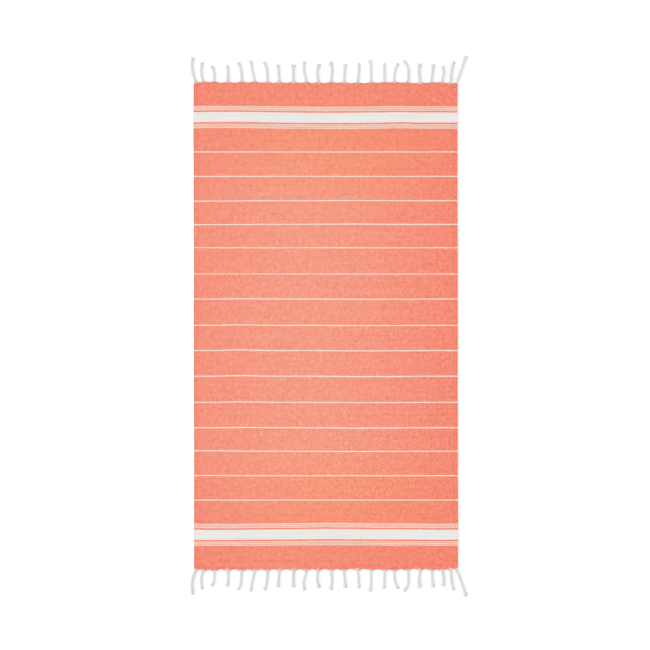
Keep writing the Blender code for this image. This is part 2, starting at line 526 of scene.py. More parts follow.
@dataclass(frozen=True)
class Outline:
    """The cloth's edges, as they lie in plan around the cloth's own middle."""

    width: float = 900 * MM
    length: float = 1661 * MM
    middle_x: float = -10.3 * MM
    skew: float = 1.0 * MM
    side_waves: tuple[Wave, ...] = (
        Wave(height=0.3 * MM, length=740 * MM, shift=0.10),
        Wave(height=0.2 * MM, length=310 * MM, shift=0.40),
    )
    end_swellings: tuple[Swelling, ...] = (
        Swelling(middle=-445 * MM, reach=40 * MM, height=0.9 * MM),
        Swelling(middle=-392 * MM, reach=45 * MM, height=2.7 * MM),
        Swelling(middle=-250 * MM, reach=120 * MM, height=1.4 * MM),
        Swelling(middle=-10 * MM, reach=26 * MM, height=-0.8 * MM),
        Swelling(middle=110 * MM, reach=60 * MM, height=-1.5 * MM),
        Swelling(middle=232 * MM, reach=42 * MM, height=1.6 * MM),
        Swelling(middle=312 * MM, reach=45 * MM, height=-2.0 * MM),
        Swelling(middle=385 * MM, reach=40 * MM, height=1.2 * MM),
        Swelling(middle=432 * MM, reach=30 * MM, height=-3.0 * MM),
    )

    def end_push(self, x: Value) -> Value:
        """How far the last weft thread lies past half the cloth's length."""
        return sum(swelling.at(x) for swelling in self.end_swellings)

    def side_push(self, side: int, y: Value) -> Value:
        """How far the selvedge of a side, -1 or 1, lies to the right of its straight line."""
        out = sum(wave.at(y * side) for wave in self.side_waves)
        return out * side + y * (-self.skew / (self.length / 2))


@dataclass(frozen=True)
class Drift:
    """A place where the weft runs a little up or down, in millimetres. Sizes are half of the whole."""

    x: float
    y: float
    reach_x: float
    reach_y: float
    push: float

    def at(self, x: Flow, y: Flow) -> Flow:
        """How far the weft is pushed along the towel.

        Args:
            x: the place across.
            y: the place along.

        Returns:
            The push there.
        """
        across = swell((x - self.x * MM) / (self.reach_x * MM))
        along = swell((y - self.y * MM) / (self.reach_y * MM))
        return across * along * (self.push * MM)


DRIFTS = (
    Drift(x=-290, y=-120, reach_x=110, reach_y=420, push=1.9),
    Drift(x=150, y=-120, reach_x=250, reach_y=420, push=-1.3),
    Drift(x=-400, y=390, reach_x=190, reach_y=110, push=-1.6),
    Drift(x=110, y=390, reach_x=200, reach_y=110, push=1.3),
    Drift(x=-400, y=-450, reach_x=150, reach_y=110, push=1.5),
    Drift(x=110, y=-390, reach_x=200, reach_y=110, push=-1.1),
    Drift(x=-330, y=705, reach_x=230, reach_y=130, push=2.3),
    Drift(x=10, y=705, reach_x=230, reach_y=130, push=-1.6),
    Drift(x=262, y=705, reach_x=80, reach_y=130, push=1.4),
    Drift(x=-350, y=-705, reach_x=210, reach_y=130, push=-1.9),
    Drift(x=20, y=-705, reach_x=200, reach_y=130, push=1.8),
    Drift(x=400, y=-705, reach_x=190, reach_y=130, push=-1.3),
)


OUTLINE = Outline()


# ---------------------------------------------------------------- finishes


def new_material(name: str) -> tuple[bpy.types.Material, Graph, bpy.types.Node]:
    """Starts a material.

    Args:
        name: its name.

    Returns:
        The material, its tree, and its shader node.
    """
    material = bpy.data.materials.new(name)
    material.use_nodes = True
    return material, Graph(material.node_tree), material.node_tree.nodes["Principled BSDF"]


@dataclass(frozen=True)
class Stripe:
    """White weft across the cloth, in millimetres: its middle and its width."""

    y: float
    width: float

    def covers(self, y: Flow, thread: float) -> Flow:
        """How white a thread of weft is: 1 inside the stripe, and less where it only reaches in."""
        return ((self.width * MM / 2 - abs(y - self.y * MM)) / thread + 0.5).clamped()


@dataclass(frozen=True)
class StripedWeave:
    """Plain weave of coral weft over white warp, with white picks for the stripes and the bands."""

    thread: float = 0.7 * MM
    coral: Colour = (0.877, 0.161, 0.120)
    coral_deep: Colour = (0.845, 0.119, 0.044)
    coral_pale: Colour = (0.908, 0.404, 0.242)
    warp: Colour = (0.905, 0.774, 0.640)
    warp_yellowed: Colour = (0.910, 0.785, 0.475)
    white: Colour = (0.780, 0.790, 0.780)
    white_warm: Colour = (0.830, 0.775, 0.735)
    white_line: Colour = (0.835, 0.775, 0.680)
    lines: tuple[Stripe, ...] = (
        Stripe(y=594.5, width=3.3),
        Stripe(y=511.3, width=3.1),
        Stripe(y=428.0, width=3.4),
        Stripe(y=347.6, width=3.4),
        Stripe(y=267.4, width=2.7),
        Stripe(y=178.1, width=2.7),
        Stripe(y=92.6, width=3.4),
        Stripe(y=2.9, width=3.3),
        Stripe(y=-83.2, width=3.4),
        Stripe(y=-170.8, width=3.5),
        Stripe(y=-259.9, width=3.3),
        Stripe(y=-346.6, width=3.5),
        Stripe(y=-426.8, width=3.3),
        Stripe(y=-510.4, width=3.1),
        Stripe(y=-593.5, width=3.3),
    )
    borders: tuple[float, float] = (712.2, -710.8)  # the middles of the white bands, in millimetres
    border_stripes: tuple[Stripe, ...] = (  # a band and the stripes to either side of it, from its middle
        Stripe(y=0.0, width=34.3),
        Stripe(y=24.2, width=2.4),
        Stripe(y=27.3, width=0.7),
        Stripe(y=30.2, width=2.2),
        Stripe(y=33.2, width=0.7),
        Stripe(y=36.2, width=2.4),
    )
    band_reach: float = 20 * MM
    warp_wander: Grain = Grain(across=260, along=22, seed=3)
    warp_strays: float = 2.2  # how many threads it wanders
    weft_wander: Grain = Grain(across=18, along=240, seed=9)
    weft_strays: float = 1.6
    mottle: Grain = Grain(across=88, along=72, seed=1, contrast=0.44)
    warp_streaks: Grain = Grain(across=290, along=22, seed=5, detail=2, contrast=0.34)
    weft_streaks: Grain = Grain(across=2.4, along=150, seed=7, detail=2, contrast=0.38)
    slubs: Grain = Grain(across=14, along=900, seed=2)
    dye_patches: Grain = Grain(across=84, along=74, seed=12)
    bobbins: Grain = Grain(across=4, along=170, seed=21, detail=2)
    patch_grain: Grain = Grain(across=96, along=88, seed=8)
    white_rows: Grain = Grain(across=5, along=230, seed=15, detail=2)
    closeness: float = 0.64  # how much of the warp the weft hides
    less_cover_middle: float = 0.16  # how much less in the middle of the cloth
    softness: float = 0.28  # how softly one thread gives way to the next
    slub_share: float = 0.4  # how much of the dye's unevenness goes by threads, and not by patches
    dye_span: tuple[float, float] = (0.3, 0.7)
    bobbin_span: tuple[float, float] = (0.36, 0.64)
    pale_across: Swelling = Swelling(middle=-80 * MM, reach=800 * MM, height=1.0)
    pale_along: tuple[float, float] = (860 * MM, 420 * MM)  # where it begins, and where it is full
    pale_at_ends: float = 0.34  # how much of it is left at the ends
    pale_share: float = 0.22
    yellow_across: Swelling = Swelling(middle=80 * MM, reach=600 * MM, height=1.0)
    yellow_along: Swelling = Swelling(middle=600 * MM, reach=270 * MM, height=1.0)
    # Random darker patches: part uneven dye, part painted shade of small crinkles.
    dye_and_shade_patches: float = 0.28  # how strongly the cloth is darkened in patches
    patch_level: float = 0.28
    patch_off_white: float = 0.6  # how much weaker it is on the white picks
    row_shade: float = 0.30  # how strongly single white picks are darkened
    row_level: float = 0.35
    denser_edge: float = 0.22
    edge_reach: tuple[float, float] = (4.6 * MM, 2.6 * MM)  # where it begins, and where it is full
    denser_side: float = 0.05
    side_reach: tuple[float, float] = (22 * MM, 12 * MM)
    side_bars: tuple[Swelling, ...] = (  # by the distance from the selvedge
        Swelling(middle=7.2 * MM, reach=2.4 * MM, height=-0.10),
        Swelling(middle=12.0 * MM, reach=3.0 * MM, height=0.08),
    )
    relief: float = 0.22 * MM
    fuzz: float = 5200.0  # the loose fibres in a metre
    fuzz_height: float = 0.35  # against a thread's height

    def build(self) -> bpy.types.Material:
        """Makes the material. It reads the flat-cut place of each point, so that it follows the cloth.

        Returns:
            The material.
        """
        material, graph, shader = new_material("striped_plain_weave")
        place = graph.add("ShaderNodeAttribute", {"attribute_name": "flat"})
        flat = Flow(graph, place.outputs["Vector"])
        x, y, _ = flat.parts()
        warp = x / self.thread + self.warp_wander.at(graph, x, y) * self.warp_strays
        weft = y / self.thread + self.weft_wander.at(graph, x, y) * self.weft_strays
        crossing = sine(warp * math.pi) * sine(weft * math.pi)
        white = self.white_picks((weft.floor() + 0.5) * self.thread)
        graph.fill(shader.inputs["Base Color"], self.colour(graph, x, y, crossing, white))
        height = abs(crossing) ** 0.5 + graph.noise(flat, self.fuzz) * self.fuzz_height
        bump = graph.node("ShaderNodeBump", {}, Strength=0.55, Distance=self.relief, Height=height)
        graph.fill(shader.inputs["Normal"], bump)
        shader.inputs["Roughness"].default_value = 0.92
        shader.inputs["Specular IOR Level"].default_value = 0.25
        shader.inputs["Sheen Weight"].default_value = 0.06
        shader.inputs["Sheen Roughness"].default_value = 0.5
        return material

    def from_border(self, y: Flow) -> Flow:
        """How far a place lies from the middle of the nearer border."""
        return abs(y - self.borders[0] * MM).at_most(abs(y - self.borders[1] * MM))

    def white_picks(self, y: Flow) -> Flow:
        """Where the weft is white.

        Args:
            y: the middle of the pick.

        Returns:
            1 on white picks, 0 on coral ones, and between on mixed ones.
        """
        picks = [line.covers(y, self.thread) for line in self.lines]
        near = self.from_border(y)
        picks += [stripe.covers(near, self.thread) for stripe in self.border_stripes]
        mask = picks[0]
        for pick in picks[1:]:
            mask = mask.at_least(pick)
        return mask

    def middle(self, x: Flow, y: Flow) -> Flow:
        """How near a place is to the paler middle of the cloth: 1 there, and 0 far from it."""
        along = abs(y).eased(*self.pale_along)
        return self.pale_across.at(x) * (along * (1.0 - self.pale_at_ends) + self.pale_at_ends)

    def side(self, x: Flow) -> Flow:
        """How much closer the weft lies near a selvedge.

        Args:
            x: the place across.

        Returns:
            What it adds to the closeness: bars a few threads wide, and 0 farther in.
        """
        edge = (x + OUTLINE.width / 2).at_most(OUTLINE.width / 2 - x)
        bars = sum(bar.at(edge) for bar in self.side_bars)
        outmost = edge.eased(*self.edge_reach) * self.denser_edge
        return outmost + bars + edge.eased(*self.side_reach) * self.denser_side

    def warp_share(self, graph: Graph, x: Flow, y: Flow, crossing: Flow) -> Flow:
        """How much of the warp shows at a place.

        Args:
            graph: the material's tree.
            x: the place across.
            y: the place along.
            crossing: 1 in the middle of a warp crossing, and -1 in the middle of a weft one.

        Returns:
            0 where weft hides it, and 1 where it lies on top.
        """
        grains = (self.mottle, self.warp_streaks, self.weft_streaks)
        cover = self.closeness - sum(grain.swing(graph, x, y) for grain in grains)
        cover = cover - self.middle(x, y) * self.less_cover_middle + self.side(x)
        return crossing.eased(cover - self.softness, cover + self.softness)

    def dyed_weft(self, graph: Graph, x: Flow, y: Flow) -> Flow:
        """The coral of the weft.

        Args:
            graph: the material's tree.
            x: the place across.
            y: the place along.

        Returns:
            The colour: deeper in some threads and patches, and paler in the middle.
        """
        slubs = self.slubs.at(graph, x, y) * self.slub_share
        dye = slubs + self.dye_patches.at(graph, x, y) * (1.0 - self.slub_share)
        dyed = graph.blend(dye.eased(*self.dye_span), self.coral_deep, self.coral)
        return graph.blend(self.middle(x, y) * self.pale_share, dyed, self.coral_pale)

    def bleached_weft(self, graph: Graph, x: Flow, y: Flow) -> Flow:
        """The white of the stripes, which differs from one bobbin to the next.

        Args:
            graph: the material's tree.
            x: the place across.
            y: the place along.

        Returns:
            The colour: the bands' own, and a warmer one for all stripes outside them.
        """
        bobbin = self.bobbins.at(graph, x, y).eased(*self.bobbin_span)
        bleached = graph.blend(bobbin, self.white, self.white_warm)
        return graph.blend(self.from_border(y).below(self.band_reach), self.white_line, bleached)

    def raw_warp(self, graph: Graph, x: Flow, y: Flow) -> Flow:
        """The white of the warp, yellower between the borders and the middle."""
        yellowed = self.yellow_along.at(abs(y)) * self.yellow_across.at(x)
        return graph.blend(yellowed, self.warp, self.warp_yellowed)

    def colour(self, graph: Graph, x: Flow, y: Flow, crossing: Flow, white: Flow) -> Flow:
        """Works out the colour of the cloth.

        Args:
            graph: the material's tree.
            x: the place across.
            y: the place along.
            crossing: 1 in the middle of a warp crossing, and -1 in the middle of a weft one.
            white: where the weft is white.

        Returns:
            The colour.
        """
        bleached = self.bleached_weft(graph, x, y)
        weft = graph.blend(white, self.dyed_weft(graph, x, y), bleached)
        warp = graph.blend(white, self.raw_warp(graph, x, y), bleached)
        cloth = graph.blend(self.warp_share(graph, x, y, crossing), weft, warp)
        # Darker patches: part uneven dye, part painted shade of small crinkles, weaker on the white picks.
        dye_and_shade_patches = ((self.patch_grain.at(graph, x, y) - self.patch_level) * self.dye_and_shade_patches).clamped()
        dye_and_shade_patches = dye_and_shade_patches * (1.0 - white * self.patch_off_white)
        rows = (self.white_rows.at(graph, x, y) - self.row_level).clamped() * white * self.row_shade
        return graph.blend(dye_and_shade_patches + rows, cloth, (0.0, 0.0, 0.0))


@dataclass(frozen=True)
class TwistedYarn:
    """Bleached cotton yarn: fine fibres wound round each strand, its colour darker in the grooves between
    them as painted shade.
    """

    name: str = "bleached_cotton_yarn"
    # The yarn's colour runs from shaded to white: partly painted shade in the fibre grooves, partly random
    # tone.
    white: Colour = (0.818, 0.827, 0.801)
    shaded: Colour = (0.716, 0.721, 0.690)
    fibres: int = 5
    fibre_lay: float = 4.5 * MM
    fibre_shade: float = 0.16
    lint_scale: float = 1600.0
    lint_shade: float = 0.8
    dust_scale: float = 160.0
    dust_shade: float = 0.5
    strand_shade: float = 0.35
    paleness: float = 0.55
    relief: float = 0.12 * MM
    fibre_height: float = 0.5
    lint_height: float = 0.8

    def build(self) -> bpy.types.Material:
        """Makes the material. It reads how far along and how far round its strand each point lies.

        Returns:
            The material.
        """
        material, graph, shader = new_material(self.name)
        along = self.carried(graph, "along")
        tone = self.carried(graph, "tone")
        node = graph.add("ShaderNodeAttribute", {"attribute_name": "round"})
        across, up, _ = Flow(graph, node.outputs["Vector"]).parts()
        angle = up.apply("ARCTAN2", across)
        fibre = (angle * float(self.fibres) + along * (math.tau / self.fibre_lay)).apply("SINE")
        place = graph.add("ShaderNodeTexCoord", {}).outputs["Object"]
        lint = graph.noise(Flow(graph, place), self.lint_scale, 2.0)
        dust = graph.noise(Flow(graph, place), self.dust_scale, 2.0)
        # Painted shade: the fibre term darkens the grooves between fibres; lint, dust and each strand's tone
        # vary at random.
        pale = fibre * self.fibre_shade + self.paleness + (lint - 0.5) * self.lint_shade
        pale = pale + (dust - 0.5) * self.dust_shade + (tone - 0.5) * self.strand_shade
        graph.fill(shader.inputs["Base Color"], graph.blend(pale.clamped(), self.shaded, self.white))
        height = fibre * self.fibre_height + lint * self.lint_height
        bump = graph.node("ShaderNodeBump", {}, Strength=0.5, Distance=self.relief, Height=height)
        graph.fill(shader.inputs["Normal"], bump)
        shader.inputs["Roughness"].default_value = 0.9
        shader.inputs["Specular IOR Level"].default_value = 0.25
        shader.inputs["Sheen Weight"].default_value = 0.1
        return material

    def carried(self, graph: Graph, name: str) -> Flow:
        """A number that each point of the mesh carries."""
        node = graph.add("ShaderNodeAttribute", {"attribute_name": name})
        return Flow(graph, node.outputs["Fac"])


# Painted shade: the bare warp's yarn is darker than the cords' yarn, to stand in for the shadow along the
# cloth's ends.
BARE_YARN_PAINTED_SHADE = TwistedYarn(name="bare_warp_yarn", white=(0.690, 0.695, 0.675), shaded=(0.550, 0.555, 0.535))


@dataclass(frozen=True)
class StudioFloor:
    """A pale seamless paper."""

    colour: Colour = (0.90, 0.90, 0.90)
    glow: float = 0.20

    def build(self) -> bpy.types.Material:
        """Makes the material.

        Returns:
            The material.
        """
        material, _, shader = new_material("pale_paper")
        shader.inputs["Base Color"].default_value = (*self.colour, 1.0)
        shader.inputs["Roughness"].default_value = 1.0
        shader.inputs["Specular IOR Level"].default_value = 0.0
        shader.inputs["Emission Color"].default_value = (1.0, 1.0, 1.0, 1.0)
        shader.inputs["Emission Strength"].default_value = self.glow
        return material


# ---------------------------------------------------------------- the cloth


@dataclass(frozen=True)
class Selvedge:
    """A pair of thick white warp ends along one side: -1 is the left one, and 1 the right one."""

    side: int
    size: float
    out: float = 1.5 * MM
    step: float = 2.0 * MM
    turn: float = 1.3  # how far the pair is turned at its start, in radians

    def line(self, outline: Outline) -> Line:
        """The straight guide line that it follows along the flat-cut cloth.

        Args:
            outline: the cloth's outline.

        Returns:
            The line.
        """
        line = Line()
        steps = round(outline.length / self.step)
        x = self.side * (outline.width / 2 + self.out * self.size)
        for step in range(steps + 1):
            along = outline.length * step / steps
            point = Vector((x, along - outline.length / 2, 0.0))
            phase = self.side * self.turn
            line.step(point, along=along, gather=1.0, girth=self.size, thick=self.size, phase=phase, up=UP)
        return line


@dataclass
class WovenCloth:
    """The cloth: one sheet from selvedge to selvedge, on its solid's low ripples."""

    outline: Outline = OUTLINE
    columns: int = 144
    rows: int = 266
    thickness: float = 1.0 * MM
    crinkle: float = 0.45 * MM
    broad_crinkles: Grain = Grain(across=26, along=17, seed=0, detail=2, contrast=1.4)
    broad_level: float = 0.3  # how high their noise is where there are none
    fine_crinkles: Grain = Grain(across=90, along=62, seed=6, contrast=0.45)
    waver: float = 1.0 * MM
    wavering: Grain = Grain(across=9, along=5, seed=2, detail=2)
    ragged: float = 5.0 * MM
    fraying: Grain = Grain(across=85, along=3, seed=4, detail=2)  # along in half lengths of the cloth
    pulled: float = 1.5 * MM
    pull_reach: float = 17 * MM
    push_fade: float = 12.0  # powers: how near to the ends each of these stays
    pull_fade: float = 20.0
    fray_fade: float = 60.0
    edges: tuple[Selvedge, ...] = (Selvedge(side=-1, size=0.5), Selvedge(side=1, size=1.55))

    def sheet_tree(self) -> ShapeGraph:
        """The tree that makes the sheet and lays it out.

        Returns:
            The tree, with its sizes as named inputs.
        """
        graph = ShapeGraph("laid_sheet")
        across = graph.count("Columns", self.columns + 1)
        up = graph.count("Rows", self.rows + 1)
        width = graph.size("Width", self.outline.width)
        length = graph.size("Length", self.outline.length)
        sheet = graph.node("GeometryNodeMeshGrid", {}, width, length, across, up)
        flat = graph.node("GeometryNodeInputPosition", {})
        sheet = graph.store(sheet, "flat", flat, "FLOAT_VECTOR")
        place = self.place(graph, flat, width, length)
        graph.finish(graph.node("GeometryNodeSetPosition", {}, sheet, Position=place))
        return graph

    def edge_tree(self) -> ShapeGraph:
        """The tree that lays the selvedges' guide lines along the sheet.

        Returns:
            The tree, with its sizes as named inputs.
        """
        graph = ShapeGraph("laid_selvedge")
        width = graph.size("Width", self.outline.width)
        length = graph.size("Length", self.outline.length)
        flat = graph.node("GeometryNodeInputPosition", {})
        place = self.place(graph, flat, width, length) + graph.vector(0.0, 0.0, self.thickness)
        graph.finish(graph.node("GeometryNodeSetPosition", {}, graph.incoming, Position=place))
        return graph

    def place(self, graph: ShapeGraph, flat: Flow, width: Flow, length: Flow) -> Flow:
        """Where a point of the flat-cut cloth comes to lie.

        Args:
            graph: the tree.
            flat: the flat-cut place.
            width: the cloth's width.
            length: the cloth's length.

        Returns:
            The underside's place in the row frame.
        """
        crinkle = graph.size("Crinkle", self.crinkle)
        waver = graph.size("Weft waver", self.waver)
        ragged = graph.size("Ragged end", self.ragged)
        flat_x, flat_y, _ = flat.parts()
        u, v = flat_x / width + 0.5, flat_y / (length * 0.5)
        left, right = self.outline.side_push(-1, flat_y), self.outline.side_push(1, flat_y)
        x = flat_x + left + (right - left) * u
        pushed, inner = v * abs(v) ** self.push_fade, 1.0 - abs(v) ** self.push_fade
        fray = self.fraying.swing(graph, flat_x, v)
        loose = self.wavering.swing(graph, flat_x, flat_y)
        drift = sum(drift.at(flat_x, flat_y) for drift in DRIFTS)
        pulls = sum(Swelling(t.root * MM, self.pull_reach, self.pulled).at(flat_x) for t in TASSELS)
        y = flat_y + pushed * self.outline.end_push(x) + v * abs(v) ** self.pull_fade * pulls
        y = y + (loose * waver + drift) * inner + fray * ragged * abs(v) ** self.fray_fade * v
        z = self.lift(x, y) + self.crinkles(graph, x, y) * crinkle
        return graph.vector(x + self.outline.middle_x, y, z)

    def lift(self, x: Flow, y: Flow) -> Flow:
        """How far the low ripples lift the cloth.

        Args:
            x: the place across.
            y: the place along.

        Returns:
            The lift there.
        """
        lifts = [ripple.lift(x, y) for ripple in RIPPLES]
        high = lifts[0]
        for lift in lifts[1:]:
            high = high.at_least(lift)
        return high

    def crinkles(self, graph: ShapeGraph, x: Flow, y: Flow) -> Flow:
        """Fine unevenness of a cloth that has been folded and washed.

        Args:
            graph: the sheet's tree.
            x: the place across.
            y: the place along.

        Returns:
            A height from 0 to about 1.
        """
        broad = self.broad_crinkles.at(graph, x, y).at_least(self.broad_level) - self.broad_level
        fine = self.fine_crinkles.at(graph, x, y)
        return broad * self.broad_crinkles.contrast + fine * self.fine_crinkles.contrast

    def build(self, finish: bpy.types.Material) -> bpy.types.Object:
        """Makes the piece.

        Args:
            finish: the cloth's material.

        Returns:
            The piece.
        """
        # The tree makes the sheet itself, so that any guide will do.
        guide = line_object("sheet_guide", [self.edges[0].line(self.outline)])
        self.sheet_tree().run(guide, finish)
        solid = guide.modifiers.new("thickness", "SOLIDIFY")
        solid.thickness = self.thickness
        solid.offset = 1.0
        piece = plain_mesh("woven_cloth", guide)
        piece.data.set_sharp_from_angle(angle=SMOOTHING_LIMIT)
        return piece

    def build_selvedges(self, finish: bpy.types.Material) -> bpy.types.Object:
        """Makes the doubled white warp ends along both sides.

        Args:
            finish: the yarn's material.

        Returns:
            The piece.
        """
        guide = line_object("selvedge_guide", [edge.line(self.outline) for edge in self.edges])
        self.edge_tree().run(guide, finish)
        SELVEDGE.tree("selvedge_pair").run(guide, finish)
        return plain_mesh("selvedges", guide)


# ---------------------------------------------------------------- the fringes


class End(Enum):
    """The two ends of the towel: the way that each one's fringe runs."""

    UPPER = 1
    LOWER = -1


class Hand(Enum):
    """The way that strands are twisted together."""

    S = -1
    Z = 1


@dataclass(frozen=True)
class Tassel:
    """One tassel, in millimetres: across from the cloth's middle and out from its end."""

    root: float  # where it leaves the cloth
    lean: float  # how far to the right of its root it ends
    bow: float  # how far its middle is pushed to the right
    hook: float  # how far its end bends to the right besides
    length: float  # from the end of the cloth to the end of the tuft
    girth: float  # its thickness against the others
    knot: float  # its knot's size against the others
    splay: float  # how wide its tuft opens against the others


TASSELS = (
    Tassel(root=-443.1, lean=-10.0, bow=-8.8, hook=0.4, length=86.0, girth=1.05, knot=1.00, splay=0.8),
    Tassel(root=-417.4, lean=-4.0, bow=-6.2, hook=1.4, length=67.6, girth=0.95, knot=1.00, splay=1.0),
    Tassel(root=-380.8, lean=-2.0, bow=0.5, hook=-9.2, length=54.7, girth=0.95, knot=1.00, splay=1.0),
    Tassel(root=-337.4, lean=-0.9, bow=3.9, hook=0.0, length=59.0, girth=1.00, knot=1.00, splay=0.9),
    Tassel(root=-286.7, lean=-3.1, bow=-1.0, hook=-13.0, length=69.0, girth=1.00, knot=0.95, splay=0.9),
    Tassel(root=-241.4, lean=-16.1, bow=-1.7, hook=0.5, length=75.1, girth=0.95, knot=0.90, splay=0.8),
    Tassel(root=-199.7, lean=-5.4, bow=1.0, hook=-7.0, length=70.0, girth=1.00, knot=1.00, splay=1.0),
    Tassel(root=-159.2, lean=-5.7, bow=0.3, hook=1.8, length=61.7, girth=1.05, knot=1.05, splay=1.0),
    Tassel(root=-111.5, lean=0.3, bow=-0.4, hook=-0.7, length=62.3, girth=1.05, knot=1.15, splay=1.6),
    Tassel(root=-63.8, lean=-17.2, bow=-2.5, hook=10.5, length=71.7, girth=0.95, knot=1.05, splay=1.2),
    Tassel(root=-23.7, lean=0.8, bow=-7.2, hook=2.2, length=64.2, girth=1.00, knot=1.15, splay=1.1),
    Tassel(root=15.9, lean=4.9, bow=1.7, hook=-7.2, length=70.0, girth=1.05, knot=1.10, splay=1.5),
    Tassel(root=60.7, lean=5.6, bow=-0.4, hook=-0.2, length=64.4, girth=1.00, knot=1.05, splay=1.2),
    Tassel(root=107.0, lean=6.3, bow=1.0, hook=-1.3, length=67.6, girth=1.00, knot=0.95, splay=0.9),
    Tassel(root=153.7, lean=0.7, bow=-0.8, hook=-5.0, length=77.5, girth=0.95, knot=1.10, splay=1.1),
    Tassel(root=200.2, lean=-0.9, bow=-0.9, hook=-1.7, length=66.5, girth=1.00, knot=0.95, splay=0.9),
    Tassel(root=232.8, lean=9.4, bow=-3.3, hook=6.0, length=64.8, girth=0.95, knot=0.90, splay=1.0),
    Tassel(root=278.4, lean=-4.1, bow=5.4, hook=-10.2, length=75.5, girth=1.00, knot=1.00, splay=1.0),
    Tassel(root=323.2, lean=-3.9, bow=-4.3, hook=2.0, length=66.3, girth=1.10, knot=1.20, splay=1.1),
    Tassel(root=359.9, lean=7.2, bow=-0.8, hook=-1.1, length=62.6, girth=1.00, knot=1.10, splay=1.3),
    Tassel(root=395.2, lean=5.3, bow=2.6, hook=-2.8, length=55.8, girth=1.00, knot=0.90, splay=1.7),
    Tassel(root=426.1, lean=8.1, bow=-2.9, hook=3.5, length=74.8, girth=1.00, knot=0.95, splay=0.9),
    Tassel(root=445.5, lean=31.8, bow=1.2, hook=1.3, length=94.7, girth=1.05, knot=1.10, splay=1.0),
)

GUIDE_STEP = 1.5 * MM
GOLDEN_TURN = 2.399963


class StrandGraph(ShapeGraph):
    """A tree that makes a bundle of strands of each guide line."""

    def copies(self, total: Flow) -> tuple[Flow, Flow]:
        """Copies each guide line.

        Args:
            total: how many copies a line gets.

        Returns:
            The curves, and the number of each one in its bundle.
        """
        lines = self.node("GeometryNodeMeshToCurve", {}, self.incoming)
        copies = self.add("GeometryNodeDuplicateElements", {"domain": "SPLINE"}, lines, Amount=total)
        return tuple(Flow(self, socket) for socket in copies.outputs)

    def chance(self, number: Flow, bundle: Flow) -> Flow:
        """A number from 0 to 1 for each strand, the same on each run."""
        where = self.vector(number, bundle, 0.0)
        return self.node("ShaderNodeTexWhiteNoise", {"noise_dimensions": "2D"}, where)

    def slack(self, along: Value, number: Flow, bundle: Flow) -> Flow:
        """Soft noise along a strand, around 0, that differs from strand to strand and bundle to bundle."""
        return self.noise(self.vector(along, number, bundle)) - 0.5

    def ways(self) -> tuple[Flow, Flow, Flow]:
        """The directions at each point of a guide line.

        Returns:
            The way along it, the way to its side, and the way up from it.
        """
        run = self.node("GeometryNodeInputTangent", {})
        side = run.cross(self.read("up", "FLOAT_VECTOR")).unit()
        return run, side, side.cross(run)

    def spin(
        self, strands: Flow, where: Flow, carried: dict[str, Flow], radius: Flow, girth: Value, sides: int
    ) -> None:
        """Lays the strands, gives them a round section, and ends the tree.

        Args:
            strands: the curves.
            where: the places of their points.
            carried: what each point carries, by name.
            radius: the section's radius.
            girth: a factor on it along the curves.
            sides: how many sides the section has.
        """
        laid = self.node("GeometryNodeSetPosition", {}, strands, Position=where)
        for name, value in carried.items():
            laid = self.store(laid, name, value)
        ring = self.node("GeometryNodeCurvePrimitiveCircle", {"mode": "RADIUS"}, sides, radius)
        spoke = self.node("GeometryNodeInputPosition", {}).unit()
        ring = self.store(ring, "round", spoke, "FLOAT_VECTOR")
        self.finish(self.node("GeometryNodeCurveToMesh", {}, laid, ring, girth, True))


@dataclass(frozen=True)
class Rope:
    """Strands twisted into plies, and plies twisted the other way into a rope."""

    plies: int
    strands: int
    ply_offset: float
    strand_offset: float
    strand_radius: float
    lay: float
    strand_lay: float
    fan_pitch: float
    hand: Hand
    sides: int
    slackness: float = 0.9  # how far a strand strays, in strand radii

    def tree(self, name: str) -> StrandGraph:
        """The tree that makes a rope of each guide line.

        Args:
            name: the tree's name.

        Returns:
            The tree, with its sizes as named inputs.
        """
        graph = StrandGraph(name)
        ply_offset = graph.size("Ply offset", self.ply_offset)
        strand_offset = graph.size("Strand offset", self.strand_offset)
        strand_radius = graph.size("Strand radius", self.strand_radius)
        lay = graph.size("Lay", self.lay * self.hand.value)
        strand_lay = graph.size("Strand lay", self.strand_lay * -self.hand.value)
        fan_pitch = graph.size("Fan pitch", self.fan_pitch)
        strands = graph.count("Strands", self.strands)
        total = graph.count("Strands in all", self.strands * self.plies)
        copied, number = graph.copies(total)
        along, gather = graph.read("along"), graph.read("gather")
        girth, phase, thick = graph.read("girth"), graph.read("phase"), graph.read("thick")
        ply = (number / strands).floor()
        strand = number - ply * strands
        ply_turn = (along / lay + ply / float(self.plies)) * math.tau + phase
        strand_turn = (along / strand_lay + strand / strands) * math.tau + phase * 2.0
        aside = cosine(ply_turn) * ply_offset + cosine(strand_turn) * strand_offset
        above = sine(ply_turn) * ply_offset + sine(strand_turn) * strand_offset
        slack = graph.slack(along * 120.0, number * 3.1, phase)
        aside = aside + slack * strand_radius * self.slackness
        fanned = (number - (total - 1.0) * 0.5) * fan_pitch
        aside = graph.mix(gather, fanned, aside) * girth
        above = graph.mix(gather, 0.0, above) * girth
        _, side, rise = graph.ways()
        where = graph.node("GeometryNodeInputPosition", {}) + side * aside + rise * above
        x, y, z = where.parts()
        laid = graph.vector(x, y, z.at_least(strand_radius * thick))
        carried = {"tone": graph.chance(number, phase)}
        graph.spin(copied, laid, carried, strand_radius, thick, self.sides)
        return graph


SELVEDGE = Rope(
    plies=2, strands=1, ply_offset=0.7 * MM, strand_offset=0.0, strand_radius=1.0 * MM,
    lay=18 * MM, strand_lay=18 * MM, fan_pitch=0.8 * MM, hand=Hand.S, sides=6,
)


